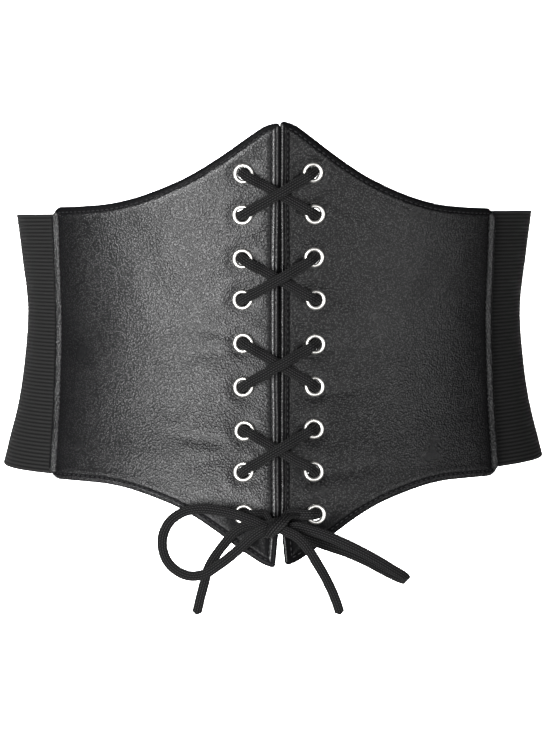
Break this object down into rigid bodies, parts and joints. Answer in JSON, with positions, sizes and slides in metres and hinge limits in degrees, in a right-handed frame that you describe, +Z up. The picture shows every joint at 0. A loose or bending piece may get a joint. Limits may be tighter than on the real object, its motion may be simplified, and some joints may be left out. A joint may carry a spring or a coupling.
{
  "type": "corset belt",
  "caption": "Wide under-bust corset belt: two shaped black leather-look front panels laced through metal eyelets, tied in a bow, with a ribbed elastic band round the back",
  "frame": {"origin": "Middle of the waist that the belt goes round, at its narrowest height", "axes": "+Z up along the body, -Y out of the laced front, +X to the viewer's right when looking at the front; the belt is widest along X"},
  "size_m": [0.27, 0.213, 0.2266],
  "materials": {
    "leather": "satin black polyurethane leather with a fine pebbled grain",
    "elastic": "matte black woven elastic with fine horizontal ribs",
    "nickel": "bright nickel plate, rolled and polished",
    "lace": "matte black flat braided cord"
  },
  "bodies": {
    "root": {"panel_left": "leather", "panel_right": "leather", "elastic_band": "elastic", "eyelet_left_1": "nickel", "eyelet_left_2": "nickel", "eyelet_left_3": "nickel", "eyelet_left_4": "nickel", "eyelet_left_5": "nickel", "eyelet_left_6": "nickel", "eyelet_left_7": "nickel", "eyelet_left_8": "nickel", "eyelet_left_9": "nickel", "eyelet_right_1": "nickel", "eyelet_right_2": "nickel", "eyelet_right_3": "nickel", "eyelet_right_4": "nickel", "eyelet_right_5": "nickel", "eyelet_right_6": "nickel", "eyelet_right_7": "nickel", "eyelet_right_8": "nickel", "eyelet_right_9": "nickel", "lacing": "lace", "bow_knot": "lace", "bow_loop_left": "lace", "bow_tail_left": "lace", "bow_loop_right": "lace", "bow_tail_right": "lace"}
  },
  "joints": []
}
